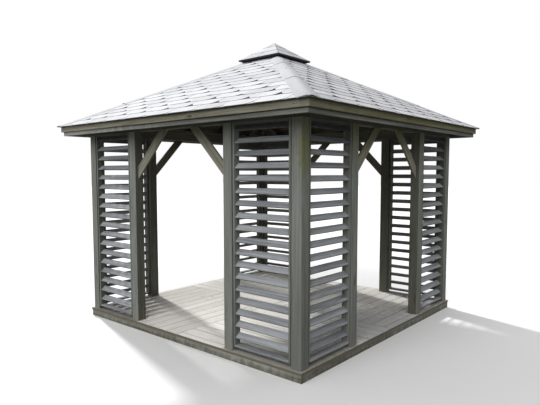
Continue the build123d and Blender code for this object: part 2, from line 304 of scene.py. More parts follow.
def makeWeatheredWood():
    # Grain.x runs along the timber, the other two across it. Long stretched noise gives the streaks, finer
    # noise the fibres, thin bands where a noise passes its middle value the drying cracks, and scattered
    # cells that bend the grain round them the knots.
    tree, given, out = newGroup(
        "weatheredWood",
        {"Grain": (0, 0, 0), "Pale": (0.3, 0.3, 0.3, 1), "Deep": (0.1, 0.1, 0.1, 1), "Fibre": 0.5,
         "Cracks": 0.6, "Knots": 0.6, "Tone": 0.0},
        ("Color", "Roughness", "Height"),
    )
    grain = given["Grain"]
    away, chosen = scattered(grain, (2.6, 8.0, 8.0), 0.62)
    near = times(band(away, 0.42, 0.0), chosen)
    knot = times(band(away, 0.13, 0.07), chosen)
    wander = noise(grain, (1.4, 2.0, 2.0), 2.0)
    swerve = calc("ADD", times(near, 0.018), times(wander, 0.03))
    x, y, z = split(grain)
    bent = put("CombineXYZ", i0=x, i1=calc("ADD", y, swerve), i2=calc("ADD", z, swerve)).outputs[0]
    streaks = noise(bent, (1.7, 46.0, 46.0), 5.0, 0.62)
    fibres = noise(bent, (9.0, 330.0, 330.0), 3.0, 0.6)
    patches = noise(grain, (0.9, 4.5, 4.5), 3.0)
    crackNoise = noise(bent, (1.3, 34.0, 34.0), 2.0, 0.5)
    crackGate = band(noise(grain, (1.1, 9.0, 9.0), 2.0), 0.5, 0.6)
    thin = band(calc("ABSOLUTE", middled(crackNoise)), 0.014, 0.004)
    cracks = times(thin, crackGate, given["Cracks"])
    level = swayed(swayed(0.5, streaks, 1.9), patches, 1.1)
    fibreShare = times(middled(fibres), given["Fibre"])
    level = timesPlus(fibreShare, 1.4, level)
    level = timesPlus(given["Tone"], 0.16, level)
    colour = blend(band(level, -0.1, 1.1), given["Deep"], given["Pale"])
    dark = blend(1.0, given["Deep"], (0.3, 0.27, 0.24, 1), "MULTIPLY")
    colour = blend(times(knot, given["Knots"]), colour, dark)
    height = timesPlus(fibres, 0.35, times(streaks, 0.5))
    feed(out, {
        "Color": blend(cracks, colour, dark),
        "Roughness": timesPlus(streaks, -0.18, 0.92),
        "Height": calc("SUBTRACT", height, times(cracks, 0.8)),
    })
    return tree


def makeLayer(name, maskOf, colourName, colour, kind="MIX", **inputs):
    # A layer of weathering or of painted shade: its own colour goes over the colour below, as strong as its mask
    # times the amount.
    below = {"Position": (0, 0, 0), "Color": (0.2, 0.2, 0.2, 1)}
    tree, given, out = newGroup(name, {**below, colourName: colour, "Amount": 0.6, **inputs})
    mask = times(maskOf(given, given["Position"]), given["Amount"])
    feed(out, {"Color": blend(mask, given["Color"], given[colourName], kind)})
    return tree


def splashAndShadeMask(given, place):
    # Strongest at the bottom level and gone at the top level, its edge broken by noise. Soil thrown up by rain
    # rises from below; with the two levels exchanged, it is painted shade that hangs down from under the eaves and
    # the boards above.
    ragged = noise(place, (22.0, 22.0, 9.0), 4.0, 0.6)
    reach = timesPlus(middled(ragged), given["Ragged"], split(place)[2])
    return band(reach, given["Bottom"], given["Top"], 1.0, 0.0)


def grimeAndShadeMask(given, place):
    # Dirt washed down from the louvre panels, and painted shade on the deck under them: with m the larger and
    # n the smaller of |x| and |y|, it rises over the inner span of m, fades over the outer one, and stops where n
    # comes to the doorway. The rim of the deck is dirty all round.
    x, y = [calc("ABSOLUTE", value) for value in split(place)[:2]]
    sway = times(middled(noise(place, (14.0, 14.0, 14.0), 4.0, 0.6)), 0.06)
    outermost = calc("MAXIMUM", x, y)
    larger = calc("ADD", outermost, sway)
    smaller = calc("ADD", calc("MINIMUM", x, y), sway)
    inner, outer, doorway, rim = [
        band(value, *split(given[span])[:2])
        for value, span in ((larger, "Inner"), (larger, "Outer"), (smaller, "Doorway"), (outermost, "Rim"))
    ]
    return calc("MAXIMUM", times(inner, times(outer, doorway)), rim)


def patchMask(given, place):
    # A patch of colour round one place (algae on posts, braces and the upper fascia, painted shade on the deck, a
    # lighter tint on the lower fascia): full at the centre, gone at the reach, broken up by noise.
    away = vectors("SUBTRACT", place, given["Centre"])[0]
    far = vectors("LENGTH", vectors("DIVIDE", away, given["Reach"])[0])["Value"]
    return band(swayed(far, noise(place, (16.0, 16.0, 7.0), 5.0, 0.65), 1.3), 1.0, 0.2)


def innerFaceShadeMask(given, place):
    # Painted shade on wood that faces the room or a doorway: with d the level direction out
    # from the middle of the room and n the way the face looks, the mask rises as n . d falls.
    outwards = vectors("NORMALIZE", vectors("MULTIPLY", place, (1.0, 1.0, 0.0))[0])[0]
    return band(vectors("DOT_PRODUCT", given["Normal"], outwards)["Value"], 0.1, -0.3)


weatheredWood = makeWeatheredWood()
splashAndShadeLayer = makeLayer("splashAndShadeLayer", splashAndShadeMask, "Soil", shade("3a372e"), Bottom=0.095, Top=0.3, Ragged=0.22)
panelGrimeAndShade = makeLayer("panelGrimeAndShade", grimeAndShadeMask, "Grime", shade("7d7666"), Inner=(1.46, 1.53, 0),
                      Outer=(1.61, 1.59, 0), Doorway=(0.64, 0.71, 0), Rim=(1.606, 1.608, 0))
algaeAndShadePatch = makeLayer("algaeAndShadePatch", patchMask, "Bloom", shade("6f7038"), Centre=(0, 0, 0), Reach=(1, 1, 1))
innerFaceShade = makeLayer("innerFaceShade", innerFaceShadeMask, "ShadeTint", (0.5, 0.485, 0.43, 1), "MULTIPLY", Normal=(0, 0, 1))
print("shared effects: weatheredWood, splashAndShadeLayer, algaeAndShadePatch, panelGrimeAndShade, innerFaceShade")


def grainFrom(run):
    # the way the grain runs, worked out from the place, on pieces that have no map of their own
    x, y, z = split(placeOf())

    def sizes():
        return calc("ABSOLUTE", x), calc("ABSOLUTE", y)

    if run == "downHip":  # the sum of the two plan distances
        order = (times(calc("ADD", *sizes()), 0.7), calc("SUBTRACT", x, y), z)
    elif run in ("fields", "toApex"):
        # along x or y: by whether the two have the same sign, or towards the apex by which is larger
        flip = calc("GREATER_THAN", *((times(x, y), 0.0) if run == "fields" else sizes()))
        order = (choose(flip, y, x), choose(flip, x, y), z)
    else:
        order = {"upright": (z, x, y), "alongX": (x, y, z), "alongY": (y, x, z)}[run]
    return put("CombineXYZ", i0=order[0], i1=order[1], i2=order[2]).outputs[0]


def timberFinish(name, look):
    # One weathered wood: grain, then what rain has left on it and the shade painted on it.
    material, shader = newMaterial(name)
    mapped = "run" not in look
    wood = put("Group", {"node_tree": weatheredWood}, Grain=boardMapOf() if mapped else grainFrom(look["run"]),
               Pale=shade(look["pale"]), Deep=shade(look["deep"]), Fibre=look.get("fibre", 0.5),
               Cracks=look.get("cracks", 0.6), Knots=look.get("knots", 0.6),
               Tone=valueOf("tone") if mapped else 0.0).outputs
    colour, place = wood["Color"], placeOf()

    def layer(group, **inputs):
        return put("Group", {"node_tree": group}, Position=place, Color=colour, **inputs).outputs["Color"]

    if "splashAndShade" in look:
        bottom, top, amount = look["splashAndShade"]
        colour = layer(splashAndShadeLayer, Bottom=bottom, Top=top, Amount=amount, Ragged=look.get("ragged", 0.22),
                       Soil=shade(look.get("soil", "3a372e")))
    if "drip" in look:
        drip = look["drip"]
        spans = {key.capitalize(): (*drip[key], 0.0) for key in ("inner", "outer", "doorway", "rim")}
        colour = layer(panelGrimeAndShade, Amount=drip["amount"], Grime=shade(drip["grime"]), **spans)
    if "algaeAndShade" in look:
        centre, reach, amount = look["algaeAndShade"]
        colour = layer(algaeAndShadePatch, Centre=centre, Reach=reach, Amount=amount,
                       Bloom=shade(look.get("bloom", "6f7038")))
    # painted shade on faces turned towards the room
    if "innerShade" in look:
        colour = layer(innerFaceShade, Normal=placeOf("Normal"), Amount=look["innerShade"])
    if mapped:
        # sawn ends are darker than the faces, and so are edges marked with painted shade: the sides of deck boards
        # in their gaps and the lower edges of the slats
        colour = blend(valueOf("mark"), colour, (0.55, 0.52, 0.48, 1), "MULTIPLY")
    bump = put("Bump", Strength=look.get("relief", 0.35), Distance=0.003, Height=wood["Height"]).outputs[0]
    shader["Specular IOR Level"].default_value = 0.25
    feed(shader, {"Base Color": colour, "Roughness": wood["Roughness"], "Normal": bump})
    return material


def dress(node, material):
    # a CAD node keeps its shape and takes a finish
    mesh = nodes[node].data
    if not mesh.materials:
        mesh.materials.append(material)
    for index in range(len(mesh.materials)):
        mesh.materials[index] = material


# A look: the two ends of its colour, how strong cracks, knots, fibres and relief are, the way its grain runs
# where no map says it, and what lies on it: a splash (from, to, amount) of soil or of painted shade, a patch
# (centre, reach, amount) of algae, of painted shade or of a lighter tint, and painted shade on faces turned to the
# room.
sideAlgae = ((1.6, -0.2, 2.16), (0.12, 2.6, 0.4), 0.5)
cornerAlgae = ((1.6, -1.53, 1.98), (0.09, 0.2, 0.42), 0.6)
frameLooks = {
    # shelter paints shade on the posts' faces turned towards the room
    "post": {"run": "upright", "pale": "8b8e8a", "deep": "6d6f6a", "cracks": 0.8, "innerShade": 1.0,
             "splashAndShade": (0.095, 0.3, 0.3), "soil": "8a8573"},
    # the beams are darker than the posts: browner unweathered wood, and painted shade under the eaves
    "beam": {"pale": "66655c", "deep": "43423a", "cracks": 0.7},
    "rafter": {"pale": "5c574b", "deep": "38342b", "cracks": 0.3, "knots": 0.9},
    "joist": {"run": "fields", "pale": "6f6c61", "deep": "413f37"},
}
# each finish: its look, what differs from that, and how the names of its nodes begin; later ones replace earlier
frameFinishes = {
    "postWood": ("post", {}, ("corner_post", "door_post")),
    "cornerPostWood": ("post", {"algaeAndShade": cornerAlgae, "splashAndShade": (0.15, 1.5, 0.55), "soil": "686b66"},
                       "corner_post_front_right"),
    "sidePostWood": ("post", {"algaeAndShade": sideAlgae}, "door_post_right"),
    "beamWoodX": ("beam", {"run": "alongX"}, ("top_beam_front", "top_beam_back")),
    "beamWoodY": ("beam", {"run": "alongY"}, ("top_beam_right", "top_beam_left")),
    "rafterWood": ("rafter", {"run": "toApex"}, "rafters"),
    "hipWood": ("rafter", {"run": "downHip"}, "hip_rafters"),
    "bossWood": ("rafter", {"run": "upright"}, "roof_boss"),
    "joistWood": ("joist", {}, "base_frame"),
}
for name, (kind, more, starts) in frameFinishes.items():
    finish = timberFinish(name, dict(frameLooks[kind], **more))
    for node in nodes:
        if node.startswith(starts):
            dress(node, finish)
print("timber frame dressed")


deckPlan = {
    "boardWidth": 0.145, "gap": 0.0075,
    "groovePitch": 0.0086, "grooveDepth": 0.0022,
    "grooveShare": 0.45,  # of the groove pitch
    "grooveFloor": 0.6,  # of the groove's width
    "arris": 0.004,
    "wander": 0.001,  # sideways, so that the gaps differ a little
    "joists": 5,  # under each field
    "joistLines": (0.023, 0.0225),  # first and last one: from the middle and from the outside of the posts
    "screwInset": 0.03,  # from the edges of a board
    "gapShade": [1.0, 1.0, 1.0, 0.8, 0.3],  # underside, lower arris, side, and the two steps of the upper arris
    "look": {"pale": "f2f0ec", "deep": "dcd9d2", "cracks": 0.5, "fibre": 0.8, "relief": 0.3, "knots": 0.5,
             # drip: dirt, and painted shade on the deck under the louvre panels
             "drip": {"inner": (1.46, 1.52), "outer": (1.63, 1.6), "doorway": (0.64, 0.71), "rim": (1.606, 1.6085),
                      "amount": 0.85, "grime": "7c7a70"},
             "algaeAndShade": ((1.5, 0.05, 0.1), (1.15, 1.2, 0.5), 0.66), "bloom": "8a8d8f"},  # painted shade on the boards by one doorway
}
screwPlan = {
    "radius": 0.0048, "sides": 8,
    "rings": [(1.0, -0.003), (1.0, 0.0), (0.75, 0.0004), (0.33, -0.0012)],  # share of the radius, and level
    "scatter": 0.004, "colour": "5a5650",
}
skirtPlan = {
    "arris": 0.003,
    "lap": 0.001,  # behind the boards that cover the ends
    "gap": 0.0005,
    "look": {"pale": "9b9b92", "deep": "6f6d61", "cracks": 0.6, "splashAndShade": (0.0, 0.06, 0.5)},
}


def groovedSection(width, height):
    # A plank with a row of shallow grooves on top: the top edge steps down and up once for each groove.
    pitch, arris = deckPlan["groovePitch"], deckPlan["arris"]
    grooves = int((width - 4 * arris) / pitch)
    halfGroove = pitch * deckPlan["grooveShare"] / 2
    floor = halfGroove * deckPlan["grooveFloor"]
    centres = (np.arange(grooves) - (grooves - 1) / 2) * pitch
    steps = (centres[:, None] + [halfGroove, floor, -floor, -halfGroove])[::-1]
    levels = height / 2 - np.array([0, 1, 1, 0]) * deckPlan["grooveDepth"] * np.ones((grooves, 1))
    top = np.stack([steps.ravel(), levels.ravel()], 1)
    w, h, r, small = width / 2, height / 2, arris, arrisStep * arris
    rightEdge = [(-w + r, -h), (w - r, -h), (w, -h + r), (w, h - r), (w - small, h - small), (w - r, h)]
    leftEdge = [(-w + r, h), (-w + small, h - small), (-w, h - r), (-w, -h + r)]
    return np.concatenate([rightEdge, top, leftEdge])


def deckRows():
    # middles and widths of the boards of one field, counted from the middle of the deck outwards
    wide, halfGap = deckPlan["boardWidth"], deckPlan["gap"] / 2
    reach = high("deck_boards")[0] - halfGap
    pitch = wide + deckPlan["gap"]
    full = int(reach / pitch)
    ripped = reach - full * pitch
    middles = np.append(halfGap + np.arange(full) * pitch + wide / 2, halfGap + reach - ripped / 2)
    return middles, np.append(np.full(full, wide), ripped)


def makeDeck():
    # four fields of boards, each turned square to the next, all ending at the lines through the middle
    deckLow, deckHigh = low("deck_boards"), high("deck_boards")
    height, level = deckHigh[2] - deckLow[2], skyward * (deckLow[2] + deckHigh[2]) / 2
    middles, widths = deckRows()
    fields = []
    for side, along, out in allSides():
        moved = middles + np.append(rng.uniform(-1, 1, len(middles) - 1), 0.0) * deckPlan["wander"]
        for chosen, width in ((slice(0, -1), widths[0]), (slice(-1, None), widths[-1])):
            place = moved[chosen, None] * out + level
            section = groovedSection(width, height)
            # the sides of a board are darkened: painted shade in the gaps
            shadeMarks = np.zeros(len(section))
            shadeMarks[:5], shadeMarks[-4:] = deckPlan["gapShade"], deckPlan["gapShade"][:0:-1]
            fields.append(sweepBoards(section, place + along * deckPlan["gap"] / 2, place + along * deckHigh[0],
                                      skyward, shadeMarks=shadeMarks))
    addPiece("deckPlanks", fields, timberFinish("deckWood", deckPlan["look"]), ["deck_boards"])


def screwMetal():
    # dull zinc, its roughness broken by fine noise
    material, shader = newMaterial("screwMetal")
    shader["Base Color"].default_value = shade(screwPlan["colour"])
    shader["Metallic"].default_value = 0.7
    grit = noise(placeOf(), (300.0, 300.0, 300.0), 2.0)
    feed(shader, {"Roughness": timesPlus(grit, 0.3, 0.35)})
    return material


def screwHeads(name, spots, facing):
    # One head is four rings of points, with radius and level along the way it faces.
    sides, rings = screwPlan["sides"], screwPlan["rings"]
    facing = unit(np.broadcast_to(np.array(facing, dtype=float), spots.shape))
    across = unit(np.cross(facing, np.array([0.31, 0.52, 0.79])))  # any way but the one it faces
    beside = np.cross(facing, across)
    turn = (np.arange(sides) * 2 * math.pi / sides)[None, :, None]
    circle = np.cos(turn) * across[:, None] + np.sin(turn) * beside[:, None]
    verts = [(spots + facing * level)[:, None] + screwPlan["radius"] * size * circle for size, level in rings]
    faces = tubeFaces(len(spots), len(rings), sides)[0]
    blank = [np.zeros(len(rows)) for rows in faces]
    heads = {"verts": [np.concatenate(verts, axis=1).reshape(-1, 3)], "faces": faces,
             "maps": [np.zeros((rows.size, 2)) for rows in faces], "tone": blank, "mark": blank}
    addPiece(name, [heads], screwFinish)


def makeDeckScrews():
    # two screws where each board crosses a joist
    middles, widths = deckRows()
    inset = np.minimum(deckPlan["screwInset"], widths / 4)
    rows = np.concatenate([middles - widths / 2 + inset, middles + widths / 2 - inset])
    first, last = deckPlan["joistLines"]
    y, x = pairs(rows, np.linspace(first, halfSpan - last, deckPlan["joists"]))
    spots = []
    for side, along, out in allSides():
        scatter = rng.uniform(-1, 1, (len(x), 2)) * screwPlan["scatter"]
        spots.append((x + scatter[:, 0])[:, None] * along + (y + scatter[:, 1])[:, None] * out)
    screwHeads("deckScrews", np.concatenate(spots) + skyward * high("deck_boards")[2], skyward)


def makeSkirt():
    # two boards a side, butted in the middle; those in front and at the back cover the ends of the others
    skirtHigh, gap = high("skirt_boards"), skirtPlan["gap"]
    thickness = skirtHigh[0] - halfSpan
    section = roundedSection(skirtHigh[2], thickness, skirtPlan["arris"])
    boards = []
    for side, along, out in allSides():
        run = skirtHigh[0] if side in ("front", "back") else halfSpan - skirtPlan["lap"]
        centre = out * (halfSpan + thickness / 2) + skyward * skirtHigh[2] / 2
        boards.append(sweepBoards(section, [centre - along * run, centre + along * gap],
                                  [centre - along * gap, centre + along * run], out, stations=3))
    addPiece("skirtPlanks", boards, timberFinish("skirtWood", skirtPlan["look"]), ["skirt_boards"])


screwFinish = screwMetal()
makeDeck()
makeDeckScrews()
makeSkirt()
print("deck and skirt made")


louvre = {
    "board": 0.02, "boardArris": 0.002,
    "packing": 0.012, "packingArris": 0.001, "packingSetback": 0.014, "packingDepth": 0.042,
    "slats": 18, "topGap": 0.002, "slatWidth": 0.07, "slatThickness": 0.012, "arris": 0.003, "letIn": 0.004,
    "tilt": 42.0, "tiltSpread": 0.9, "levelSpread": 0.0012, "bow": 0.0012,
    "shadeMarks": [0, 0, 0, 0.3, 0.9, 0.9, 0.9, 0.9, 0.4, 0, 0, 0],  # round the section: painted shade on the lower edge
    "slatLook": {"pale": "a9acb0", "deep": "73767b", "cracks": 0.4, "fibre": 0.7, "knots": 0.5,
                 # painted shade: on faces turned to the room, and falling from the top over the upper slats under
                 # the eaves
                 "innerShade": 0.8, "splashAndShade": (2.16, 2.05, 0.62), "soil": "26271f"},
    # shelter paints shade on the stiles' faces turned towards the room
    "stileLook": {"pale": "8a8c87", "deep": "5f605b", "cracks": 0.5, "innerShade": 0.8},
}
bracePlan = {
    "width": 0.095, "arris": 0.003,
    "screws": (0.1, 0.16, 0.84, 0.9),  # shares of the length
    # painted shade on faces turned to the room and, from the top down, on the braces' upper ends under the eaves
    "look": {"pale": "a19e90", "deep": "716e60", "cracks": 0.5, "innerShade": 0.8,
             "splashAndShade": (2.24, 1.92, 0.55), "soil": "3c3b2f", "algaeAndShade": sideAlgae},
}


def seenFrom(side, node):
    # the directions of a side, and the box of a node there: its reach along, out and up
    along, out = sideAxes(side)
    corners = np.array([low(node), high(node)])
    return along, out, np.sort(corners @ along), np.sort(corners @ out), corners[:, 2]


def makeLouvres(side, end, stileWood, slatWood):
    # stiles and rails on edge, and between them slats turned about their own length, outer edge down
    node = f"louvre_panel_{side}_{end}"
    along, out, (left, right), reachOut, (bottom, top) = seenFrom(side, node)
    board, packing, count = louvre["board"], louvre["packing"], louvre["slats"]
    depth, middle = reachOut[1] - reachOut[0], out * reachOut.mean()

    def strips(section, starts, ends, **more):
        # each from one spot (along, level) to another
        return sweepBoards(section, *[[along * a + middle + skyward * level for a, level in spots]
                                      for spots in (starts, ends)], out, **more)

    def uprights(section, a, b, **more):
        return strips(section, [(a, bottom), (b, bottom)], [(a, top), (b, top)], **more)

    # strips that pack the panel out from the posts, set back from its face
    packers = uprights(roundedSection(packing, louvre["packingDepth"], louvre["packingArris"], 1),
                       left + packing / 2, right - packing / 2)
    packers["verts"][0] += out * (depth / 2 - louvre["packingSetback"] - louvre["packingDepth"] / 2)
    left, right = left + packing, right - packing
    edge = roundedSection(board, depth, louvre["boardArris"])
    stiles = uprights(edge, left + board / 2, right - board / 2, stations=3)
    left, right = left + board, right - board
    levels = (bottom + board / 2, top - board / 2)
    rails = strips(edge, [(left, level) for level in levels], [(right, level) for level in levels])

    pitch = (top - bottom - 2 * board - louvre["topGap"]) / count
    tilt = np.radians(louvre["tilt"] + louvre["tiltSpread"] * rng.uniform(-1, 1, count))[:, None]
    rise = louvre["slatWidth"] * np.sin(tilt) + louvre["slatThickness"] * np.cos(tilt)
    level = bottom + board + pitch * (1 + np.arange(count)[:, None]) - rise / 2
    level += louvre["levelSpread"] * rng.uniform(-1, 0, (count, 1))
    base = middle + level * skyward
    section = roundedSection(louvre["slatWidth"], louvre["slatThickness"], louvre["arris"])
    slats = sweepBoards(section, base + along * (left - louvre["letIn"]), base + along * (right + louvre["letIn"]),
                        np.cos(tilt) * skyward + np.sin(tilt) * out, stations=5, bow=louvre["bow"],
                        lift=louvre["bow"], shadeMarks=louvre["shadeMarks"])
    addPiece(f"stiles_{side}_{end}", [packers, stiles], stileWood, [node])
    addPiece(f"slats_{side}_{end}", [rails, slats], slatWood, [node])


def makeBraces(side, braceWood):
    # planks at 45 degrees: plumb cut against the door post, level cut under the beam
    node = f"braces_{side}"
    along, out, (_, postFace), reachOut, (bottom, top) = seenFrom(side, node)
    depth, middle = reachOut[1] - reachOut[0], out * reachOut.mean()
    halfCut = bracePlan["width"] * math.sqrt(2) / 2
    foot, head = bottom + halfCut, postFace - (top - bottom) + halfCut
    hands = [along * hand for hand in (-1, 1)]
    braces = sweepBoards(roundedSection(bracePlan["width"], depth, bracePlan["arris"]),
                         [hand * postFace + middle + skyward * foot for hand in hands],
                         [hand * head + middle + skyward * top for hand in hands],
                         out, cutStart=hands, cutEnd=skyward, stations=3)
    addPiece(f"bracePair_{side}", [braces], braceWood, [node])
    # two screws at each end, on the middle line of the brace
    face = out * (reachOut.mean() + depth / 2)
    return np.array([hand * (postFace + (head - postFace) * share) + skyward * (foot + (top - foot) * share) + face
                     for hand in hands for share in bracePlan["screws"]])


stileWood = timberFinish("stileWood", louvre["stileLook"])
slatWood = timberFinish("slatWood", louvre["slatLook"])
braceWood = timberFinish("braceWood", bracePlan["look"])
spots, facing = [], []
for side in sideTurns:
    for end in ("left", "right"):
        makeLouvres(side, end, stileWood, slatWood)
    spots.append(makeBraces(side, braceWood))
    facing.append(np.tile(sideAxes(side)[1], (len(spots[-1]), 1)))
screwHeads("braceScrews", np.concatenate(spots), np.concatenate(facing))
print("louvre panels and braces made")


pitchAngle = math.radians(26.2)
roof = {
    "pitch": pitchAngle, "apex": high("roof_boarding_front")[2],
    "half": high("shingles")[0] - 0.006 * math.sin(pitchAngle),  # to the foot of the lowest butt
    "stop": high("cap_kerb")[0],
}
boardingPlan = {
    "rows": 18, "thickness": 0.02, "gap": 0.0015,
    "topShift": 0.0005,  # keeps the highest plank off the apex
    "look": {"pale": "625b4c", "deep": "3e392e", "cracks": 0.1, "knots": 1.0, "fibre": 0.4},
}
fasciaPlan = {"arris": 0.003, "gap": 0.0006, "upper": 0.022, "lower": 0.02}
fasciaTop = high("upper_fascia")[2] - fasciaPlan["upper"] * math.tan(pitchAngle)
fasciaFoot = low("upper_fascia")[2]
upperFascia = {
    "thickness": fasciaPlan["upper"], "underRoof": 0.0,
    "splits": {"front": [1.745], "back": [1.745], "right": [-0.2], "left": [0.3]},
    "look": {"pale": "979385", "deep": "635f51", "cracks": 0.7, "knots": 0.8,
             "algaeAndShade": ((1.83, 0.0, 2.34), (0.1, 3.2, 0.4), 0.45),
             # the splash falls from the top of the board: painted shadow under the shingles' overhang
             "splashAndShade": (fasciaTop - 0.006, fasciaTop - 0.034, 0.8), "soil": "24231c", "ragged": 0.02},
}
lowerFascia = {
    "thickness": fasciaPlan["lower"], "underRoof": 0.02,
    "splits": {"right": [0.4], "left": [-0.4]},
    "look": {"pale": "8b8c87", "deep": "5c5d58", "cracks": 0.5, "knots": 0.4,
             "algaeAndShade": ((-1.85, -1.83, 2.3), (2.1, 0.5, 0.6), 0.75), "bloom": "a8a9a2",  # lighter towards one corner
             # the splash falls from the top of the board: painted shadow under the upper fascia board
             "splashAndShade": (fasciaFoot - 0.002, fasciaFoot - 0.014, 0.75), "soil": "24241f", "ragged": 0.006},
}


def slopeAxes(side, pitch):
    along, out = sideAxes(side)
    upSlope = -out * math.cos(pitch) + skyward * math.sin(pitch)
    normal = out * math.sin(pitch) + skyward * math.cos(pitch)
    return along, out, upSlope, normal


def mitres(side):
    # the upright planes through the hips, at which the boards of a side begin and end
    along, out = sideAxes(side)
    return {"cutStart": unit(along + out), "cutEnd": unit(along - out)}


def makeBoarding():
    # planks laid along each slope, mitred at the hips, seen from below between the rafters
    rows, thickness = boardingPlan["rows"], boardingPlan["thickness"]
    back = high("upper_fascia")[0] - fasciaPlan["upper"]
    wide = back / math.cos(pitchAngle) / rows
    section = roundedSection(wide - boardingPlan["gap"], thickness, boardingPlan["gap"], 1)
    boardingWood = timberFinish("boardingWood", boardingPlan["look"])
    fromApex = (np.arange(rows) + 0.5)[:, None] * wide
    fromApex[0] += boardingPlan["topShift"]
    reach = fromApex * math.cos(pitchAngle) - thickness / 2 * math.sin(pitchAngle)
    for side in sideTurns:
        along, out, upSlope, normal = slopeAxes(side, pitchAngle)
        centre = skyward * roof["apex"] - fromApex * upSlope - normal * thickness / 2
        planks = sweepBoards(section, centre - reach * along, centre + reach * along, normal, **mitres(side))
        addPiece(f"roofPlanks_{side}", [planks], boardingWood, [f"roof_boarding_{side}"])


def makeFascia(name, node, plan):
    # Boards round the eaves, mitred at the hips; splits are the places of butt joints along a side. In the
    # section x is the distance out and y the level: plumb faces, arrises below, and a top edge that follows
    # the slope.
    arris, small = fasciaPlan["arris"], fasciaPlan["arris"] * arrisStep
    outer, bottom = high(node)[0], low(node)[2]
    inner = outer - plan["thickness"]
    innerTop, outerTop = [roof["apex"] - reach * math.tan(pitchAngle) - plan["underRoof"] / math.cos(pitchAngle)
                          for reach in (inner, outer)]
    section = np.array([(inner + arris, bottom), (outer - arris, bottom), (outer - small, bottom + small),
                        (outer, bottom + arris), (outer, outerTop), (inner, innerTop), (inner, bottom + arris),
                        (inner + small, bottom + small)])
    reach, level = outer - plan["thickness"] / 2, (bottom + max(innerTop, outerTop)) / 2
    section = ((section - [reach, level]) * [-1, 1])[::-1]
    boards = []
    for side, along, out in allSides():
        centre = out * reach + skyward * level
        places = [-reach, *plan["splits"].get(side, []), reach]
        for a, b in zip(places, places[1:]):
            cuts = mitres(side)
            if a != -reach:
                cuts["cutStart"], a = None, a + fasciaPlan["gap"]
            if b != reach:
                cuts["cutEnd"], b = None, b - fasciaPlan["gap"]
            boards.append(sweepBoards(section, centre + along * a, centre + along * b, skyward, stations=4, **cuts))
    addPiece(name, boards, timberFinish(name + "Wood", plan["look"]), [node])


makeBoarding()
makeFascia("upperFascia", "upper_fascia", upperFascia)
makeFascia("lowerFascia", "lower_fascia", lowerFascia)
print("roof boarding and fascias made")


shingle = {
    "tabWidth": 0.355, "exposure": 0.1435, "lap": 0.045, "slot": 0.005,
    "cornerReach": 0.058, "cornerRise": 0.045,
    "worn": {"front": (0.3, 1.3), "right": (0.8, 1.8), "back": (0.4, 1.4), "left": (0.4, 1.4)},
    "thickness": 0.0029,
    "bedded": 0.0002,  # the least that an underside stands above the slope
    "butt": 0.006, "head": 0.003, "buttShow": 0.5,
    "uneven": 0.0015,  # how far tabs are laid out of line
    "curl": 0.003, "wave": 0.0007,
    "waves": (2.7, 1.9, 6.1, 3.3),  # radians a metre, along and up the slope
    "calm": (0.15, 0.2),  # waves and curls die out this near to a hip and to the eaves
    "drip": 0.003,  # keeps the lowest butt inside the eaves line
    "tip": 0.012,  # half the width that is left where a tab is cut between two hips
    "hipGap": 0.0008,
    "least": 0.02,  # no tab shorter than this is laid
    "across": 13,
    "evenShare": 0.35,  # of the columns' spacing; the rest crowds them towards the slots
    "upSlope": 5,
    "rowCrowding": 1.3,  # power that crowds the rows towards the butt
    "leastCourse": 0.2,  # of the exposure; a shorter top course is left out
    "phase": {"front": 0.037, "right": 0.117, "back": 0.2, "left": 0.08},
}


def slabs(top, under, tone, flat, depth, buttFeltAndShade, sideMark=1.0):
    # Closed slabs from two grids of points each: tops, undersides wound the other way, and walls round the rim.
    # Undersides are marked in full, and walls with the values given for the first row and for the rest.
    count, rows, cols = top.shape[:3]
    size = rows * cols
    index = np.arange(size).reshape(rows, cols)
    quads = np.stack([index[:-1, :-1], index[:-1, 1:], index[1:, 1:], index[1:, :-1]], -1).reshape(-1, 4)
    rim = np.concatenate([index[0, :-1], index[:-1, -1], index[-1, :0:-1], index[:0:-1, 0]])
    after = np.roll(rim, -1)
    walls = np.stack([rim, rim + size, after + size, after], -1)
    local = np.concatenate([quads, quads[:, ::-1] + size, walls])
    base = (np.arange(count) * 2 * size)[:, None, None]
    sides = np.full(len(walls) - cols + 1, sideMark)
    mark = np.concatenate([np.zeros(len(quads)), np.ones(len(quads)), buttFeltAndShade, sides])
    return {
        "verts": [np.stack([top, under], 1).reshape(-1, 3)],
        "faces": [(base + local).reshape(-1, 4)],
        "maps": [np.stack([flat, flat], 1).reshape(count, 2 * size, 2)[:, local].reshape(-1, 2)],
        "tone": [np.repeat(tone, len(local))],
        "mark": [np.tile(mark, count)],
        "depth": [np.stack([depth, depth], 1).ravel()],
    }


